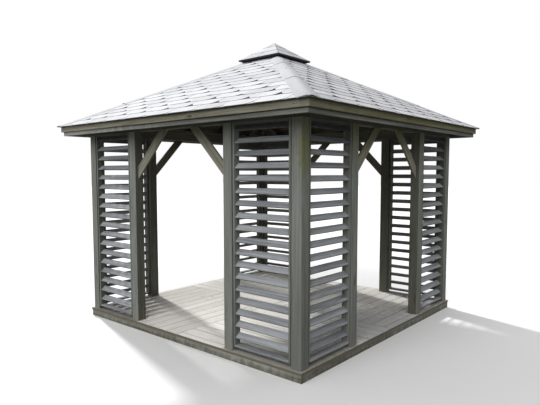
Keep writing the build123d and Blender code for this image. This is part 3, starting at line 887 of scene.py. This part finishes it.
def layTabs(side, ground, tab, phase):
    # Tab (course, column) is a grid: across runs from slot to slot, upward from the butt to under the next
    # course. Near each corner its butt line rises by worn * rise * (1 - distance / reach)^1.6, its top falls
    # from butt to head height over the exposure, and its ends are cut on the hips.
    along, out, upSlope, normal = slopeAxes(side, ground["pitch"])
    cosine, half = math.cos(ground["pitch"]), ground["half"]
    exposure, width, cornerReach = tab["exposure"], tab["tabWidth"], tab["cornerReach"]
    length = (half - ground["stop"]) / cosine
    columns = int(2 * half / width) + 3
    courses = math.ceil(length / exposure - tab["leastCourse"])
    course, column = pairs(np.arange(courses), np.arange(columns) - columns // 2)
    left = phase + (column + np.where(course % 2 == 1, 0.0, 0.5)) * width + tab["slot"] / 2
    right = left + width - tab["slot"]
    base = course * exposure + tab["drip"]
    # how far up the slope the tab keeps some width between the hips
    usable = (half - base * cosine - np.maximum(np.maximum(left, -right), 0) - tab["tip"]) / cosine
    deep = np.minimum(np.minimum(exposure + tab["lap"], length - base), usable)
    keep = usable > tab["least"]
    left, right, base, deep = [values[keep, None, None] for values in (left, right, base, deep)]
    count = len(left)

    even = np.linspace(0, 1, tab["across"])
    crowded = (1 - tab["evenShare"]) * (0.5 - 0.5 * np.cos(np.pi * even))
    across = (tab["evenShare"] * even + crowded)[None, None, :]
    upward = (np.linspace(0, 1, tab["upSlope"]) ** tab["rowCrowding"])[None, :, None]
    uneven = rng.uniform(-tab["uneven"], tab["uneven"], (count, 1, 1))
    line = base + deep * upward
    reach = half - line * cosine - tab["hipGap"]
    start = np.maximum(left, -reach)
    x = start + (np.minimum(right, reach) - start) * across
    nearSlot = np.clip(np.minimum(x - left, right - x), 0, cornerReach)
    worn = rng.uniform(*tab["worn"][side], (count, 1, 1))
    rise = np.minimum(worn * tab["cornerRise"] * (1 - nearSlot / cornerReach) ** 1.6, deep * 0.5)
    line = np.maximum(line + (rise + uneven) * (1 - upward), tab["drip"])
    share = (line - base) / exposure
    a, b, c, d = tab["waves"]
    wave = tab["wave"] * (2 + np.sin(x * a + line * b + phase * 50) + np.sin(x * c - line * d))
    fade = np.clip((reach - np.abs(x)) / tab["calm"][0], 0, 1) * np.clip(line / tab["calm"][1], 0, 1)
    curl = tab["curl"] * rng.uniform(0, 1, (count, 1, 1)) * np.abs(2 * across - 1) ** 4 * (1 - upward) ** 2
    raised = tab["butt"] - (tab["butt"] - tab["head"]) * share + (wave + curl) * fade
    under = np.maximum(raised - tab["thickness"], tab["bedded"])

    origin = out * half + skyward * (ground["apex"] - half * math.tan(ground["pitch"]))
    plane = origin + x[..., None] * along + line[..., None] * upSlope
    # the cut felt of the butt wall shows by half along a tab's straight edge, and in full near its worn-round
    # corners, where the extra darkness is painted shade in the cutouts
    middle = (across[0, 0, 1:] + across[0, 0, :-1]) / 2
    buttFeltAndShade = np.where(np.abs(2 * middle - 1) > 1 - 2 * cornerReach / width, 1.0, tab["buttShow"])
    return slabs(plane + raised[..., None] * normal, plane + under[..., None] * normal, rng.uniform(-1, 1, count),
                 np.stack([x, line], -1), share, buttFeltAndShade)


def foldStrips(corner, ground, strip):
    # A strip folded over a hip: q runs across it, t up the hip. Sideways it goes q * cos(b), and it falls by
    # sin(b) * (sqrt(q^2 + f^2) - f), scaled so that both edges lie on the slopes; f rounds the fold.
    signX, signY = corner
    tangent, half = math.tan(ground["pitch"]), ground["half"]
    plan = unit(np.array([signX, signY, 0.0]))
    lateral = np.cross(skyward, plan)
    upHip = unit(-plan + skyward * tangent / math.sqrt(2))
    lift = np.cross(lateral, upHip)
    lift = lift if lift[2] > 0 else -lift
    edge = unit(np.cross([signX * math.sin(ground["pitch"]), 0, math.cos(ground["pitch"])], upHip))
    cosB, sinB = abs(edge @ lateral), abs(edge @ lift)

    eave = plan * half * math.sqrt(2) + skyward * (ground["apex"] - half * tangent)
    length = (half - ground["stop"]) * math.sqrt(2 + tangent ** 2)
    starts = np.array([0.0, *strip["joints"]])
    ends = np.append(starts[1:] + strip["lap"], length)[:, None, None]
    starts = starts[:, None, None]
    count, wide, f = len(starts), strip["halfWidth"], strip["fold"]
    q = np.linspace(-1, 1, strip["across"])[None, None, :] * wide
    t = np.linspace(0, 1, strip["along"])[None, :, None]
    aside = np.abs(q) / wide
    radius = strip["cornerRadius"]
    nearEdge = np.clip(wide - np.abs(q), 0, radius)
    rise = radius - np.sqrt(np.maximum(radius ** 2 - (radius - nearEdge) ** 2, 0))
    # where the strip would hang over the eaves its lower edge follows them
    overEave = np.where(np.arange(count)[:, None, None] == 0, np.abs(q) * strip["eaveSlant"], 0)
    lower = np.where(overEave > 0, overEave + strip["drip"], rise) + strip["drip"]
    line = starts + (ends - starts) * t + lower * (1 - t) ** 2
    full = math.sqrt(wide ** 2 + f ** 2) - f
    fall = (np.sqrt(q ** 2 + f ** 2) - f) * wide / full * sinB
    edgeDrop, topDrop, topRun = strip["settled"]
    settled = 1 - edgeDrop * aside ** 2 - topDrop * np.clip((line - length + topRun) / topRun, 0, 1)
    tilted = strip["tilt"] * (1 - (line - starts) / strip["tiltRun"]).clip(0, 1)
    sway = strip["sway"] * np.sin(line * strip["swayPitch"] + signX + 2 * signY) * (1 - aside ** 2)
    height = (strip["base"] + tilted) * settled + sway - fall
    point = eave + line[..., None] * upHip + (q * cosB + 0 * line)[..., None] * lateral + height[..., None] * lift
    under = point - lift * strip["thickness"]
    # what reaches past the eaves hangs straight down there
    limit = half + strip["overEaves"]
    point[..., :2] = point[..., :2].clip(-limit, limit)
    under[..., :2] = under[..., :2].clip(strip["thickness"] - limit, limit - strip["thickness"])
    flat = np.stack([q + 0 * line + strip["mapShift"], line], -1)
    share = (line - starts) / (ends - starts) * 0.5
    tone = rng.uniform(-strip["tones"], strip["tones"], count)
    return slabs(point, under, tone, flat, share, np.ones(strip["across"] - 1), sideMark=0.0)


def makeMineralGranules():
    # Mineral granules on felt: fine noise for the grains and a few dark specks, slower noise for the run of the
    # rain down the slope, a tone for each tab, and bare felt on cut edges and where a course goes under the next;
    # near a tab's corners the felt on the butt walls is painted shade.
    tree, given, out = newGroup(
        "mineralGranules",
        {"Position": (0, 0, 0), "Flat": (0, 0, 0), "Pale": (0.6, 0.6, 0.6, 1), "Deep": (0.4, 0.4, 0.4, 1),
         "Felt": (0.03, 0.03, 0.03, 1), "Tone": 0.0, "Cut": 0.0, "Depth": 0.0, "LapStart": 0.99, "Specks": 0.3},
        ("Color", "Roughness", "Height"),
    )
    place = given["Position"]
    grains = noise(place, (420.0, 420.0, 420.0), 2.0, 0.8)
    streaks = noise(given["Flat"], (9.0, 1.1, 1.0), 4.0, 0.6)
    patches = noise(place, (1.6, 1.6, 1.6), 4.0, 0.55)
    level = swayed(swayed(0.55, streaks, 1.1), patches, 0.9)
    level = swayed(calc("ADD", given["Tone"], level), grains, 1.1)
    colour = blend(band(level, 0.0, 1.0), given["Deep"], given["Pale"])
    away, chosen = scattered(place, (330.0, 330.0, 330.0), 0.9)
    speck = times(band(away, 0.5, 0.3), chosen, given["Specks"])
    colour = blend(speck, colour, given["Felt"])
    lapped = band(calc("SUBTRACT", given["Depth"], given["LapStart"]), 0.0, 0.02)
    feed(out, {
        "Color": blend(calc("MAXIMUM", given["Cut"], lapped), colour, given["Felt"]),
        "Roughness": timesPlus(grains, 0.15, 0.8),
        "Height": grains,
    })
    return tree


def granuleFinish(name, look):
    # one roll of shingle or strip, its tone different for each piece laid
    material, shader = newMaterial(name)
    surface = put("Group", {"node_tree": mineralGranules}, Position=placeOf(), Flat=boardMapOf(),
                  Pale=shade(look["pale"]), Deep=shade(look["deep"]), Felt=shade(look["felt"]),
                  Tone=times(valueOf("tone"), look["toneSpread"]),
                  Cut=times(valueOf("mark"), look["edge"]),
                  Depth=valueOf("depth"), LapStart=look["lapStart"], Specks=look["specks"]).outputs
    bump = put("Bump", Strength=0.5, Distance=0.002, Height=surface["Height"]).outputs[0]
    shader["Specular IOR Level"].default_value = 0.2
    feed(shader, {"Base Color": surface["Color"], "Roughness": surface["Roughness"], "Normal": bump})
    return material


mineralGranules = makeMineralGranules()
tabLook = {
    "pale": "d0d0d3", "deep": "b2b3b7", "felt": "2b2b33",
    "lapStart": 0.99, "toneSpread": 0.22, "edge": 0.9, "specks": 0.45,
}
stripLook = dict(tabLook, pale="c4c5c8", deep="aaabb0", toneSpread=0.3, lapStart=2.0, edge=0.6)
tabFinish = granuleFinish("tabGranules", tabLook)
stripFinish = granuleFinish("hipGranules", stripLook)
oneLength = -20.0  # half the width of a tab that goes right across a side
starter = dict(shingle, tabWidth=-2 * oneLength, exposure=0.15, lap=0.0, butt=0.003, head=0.0015, curl=0.0, wave=0.0,
               cornerReach=0.001, cornerRise=0.0005, drip=0.004, across=33)
courses = []
for side in sideTurns:
    courses.append(layTabs(side, roof, shingle, shingle["phase"][side]))
    courses.append(layTabs(side, dict(roof, stop=roof["half"] - starter["exposure"]), starter, oneLength))
addPiece("shingleTabs", courses, tabFinish, ["shingles"])

hipStrip = {
    "joints": [0.86, 1.825], "lap": 0.08,
    "halfWidth": 0.098, "cornerRadius": 0.06, "fold": 0.03, "base": 0.0095, "thickness": 0.003,
    "settled": (0.35, 0.2, 0.3),  # share by which it lies lower at its edges and at its top end, and over what run
    "tilt": 0.0025, "tiltRun": 0.6, "sway": 0.0012, "swayPitch": 4.3,
    "drip": 0.004, "eaveSlant": 0.62, "overEaves": 0.0024,
    "across": 25, "along": 34, "mapShift": 5, "tones": 0.4,
}
hips = [foldStrips(corner, roof, hipStrip) for corner in ((1, -1), (1, 1), (-1, 1), (-1, -1))]
addPiece("hipStrips", hips, stripFinish, ["hip_caps"], smooth=True)
print("shingles and hip strips laid")


capPitch = math.radians(34.6)
cap = {
    "pitch": capPitch, "apex": high("cap_roof")[2] - 0.0006,
    "half": high("cap_roof")[0] - 0.003, "stop": 0.0,
}
capTab = dict(shingle, tabWidth=2.0, exposure=0.13, lap=0.03, curl=0.0, wave=0.0004, cornerReach=0.002,
              cornerRise=0.001, butt=0.005, head=0.0025, drip=0.0, tip=0.0015)
capEdge = {
    "setback": 0.005, "board": 0.018, "arris": 0.002,
    # dark felt, its colour also standing for painted shade under the cap's overhang
    "look": {"pale": "44444d", "deep": "2c2c34", "cracks": 0.0, "knots": 0.0},
}


def makeCap():
    # the small roof over four boards mitred at its hips, and the kerb of the source under it
    cover = [layTabs(side, cap, capTab, -1.0) for side in sideTurns]
    addPiece("capCover", cover, tabFinish, ["cap_roof"])
    face, board = high("cap_roof")[0] - capEdge["setback"], capEdge["board"]
    bottom, top = low("cap_roof")[2], cap["apex"] - face * math.tan(capPitch)
    section = roundedSection(board, top - bottom, capEdge["arris"])
    reach = face - board / 2
    edges = []
    for side, along, out in allSides():
        centre = out * reach + skyward * (top + bottom) / 2
        edges.append(sweepBoards(section, centre - along * reach, centre + along * reach, skyward, **mitres(side)))
    addPiece("capEdge", edges, timberFinish("darkFeltAndShade", capEdge["look"]))
    # the kerb takes the same dark colour, which also paints the shade under the cap
    dress("cap_kerb", timberFinish("kerbFeltAndShade", dict(capEdge["look"], run="upright")))


makeCap()
print("cap made")


# pale is what the camera sees, bounce what the floor throws back up at the object
stagePlan = {"size": 60.0, "pale": (0.82, 0.82, 0.82, 1), "bounce": (0.15, 0.155, 0.135, 1), "roughness": 0.9}
# sky: strength at the horizon and above the given height; lamps: strength, softness in degrees, and where the
# light comes from (turned from the front, and raised)
lighting = {
    "sky": (0.18, 0.56),
    "skyHeight": 0.6,
    "key": (3.3, 4.0, (106.7, 36.0)),
    "fill": (1.8, 60.0, (-14.0, 36.0)),
}
cameraView = {
    "lens": 33.78, "shift": (0.0161, 0.0176),
    "location": (4.0282, -4.9076, 1.7492), "turn": (85.626, 0.113, 40.877),
}


def makeStage():
    mesh = bpy.data.meshes.new("floor")
    size = stagePlan["size"]
    mesh.from_pydata([(-size, -size, 0), (size, -size, 0), (size, size, 0), (-size, size, 0)], [], [(0, 1, 2, 3)])
    material, shader = newMaterial("paleFloor")
    seen = put("LightPath").outputs["Is Camera Ray"]
    feed(shader, {"Base Color": blend(seen, stagePlan["bounce"], stagePlan["pale"])})
    shader["Roughness"].default_value = stagePlan["roughness"]
    mesh.materials.append(material)
    floor = inScene("floor", mesh)


def makeLight():
    # the camera and reflections see plain white, and on the object the sky is weaker near the horizon
    world = bpy.data.worlds.new("studio")
    scene.world = world
    world.use_nodes = True
    bench["tree"] = world.node_tree
    background = world.node_tree.nodes["Background"].inputs
    rays = put("LightPath").outputs
    mirrored = calc("MAXIMUM", rays["Is Glossy Ray"], rays["Is Transmission Ray"])
    seen = calc("MAXIMUM", rays["Is Camera Ray"], mirrored)
    glow = band(split(placeOf("Generated"))[2], 0.0, lighting["skyHeight"], *lighting["sky"])
    feed(background, {"Strength": choose(seen, glow, 1.0)})
    background["Color"].default_value = (1, 1, 1, 1)
    for name in ("key", "fill"):
        strength, spread, angles = lighting[name]
        lamp = bpy.data.lights.new(name, "SUN")
        lamp.energy, lamp.angle = strength, math.radians(spread)
        turn, rise = [math.radians(angle) for angle in angles]
        toLight = (-math.sin(turn) * math.cos(rise), -math.cos(turn) * math.cos(rise), math.sin(rise))
        light = inScene(name, lamp)
        light.rotation_mode = "QUATERNION"
        light.rotation_quaternion = mathutils.Vector(toLight).to_track_quat("Z", "Y")


def makeCamera():
    lens = bpy.data.cameras.new("photoView")
    lens.sensor_width = 36.0
    lens.lens = cameraView["lens"]
    lens.shift_x, lens.shift_y = cameraView["shift"]
    lens.clip_start, lens.clip_end = 0.1, 200.0
    view = inScene("photoView", lens)
    view.location = cameraView["location"]
    view.rotation_euler = [math.radians(angle) for angle in cameraView["turn"]]
    scene.camera = view


makeStage()
makeLight()
makeCamera()
scene.view_settings.view_transform = "Standard"
print("floor, light and camera set")
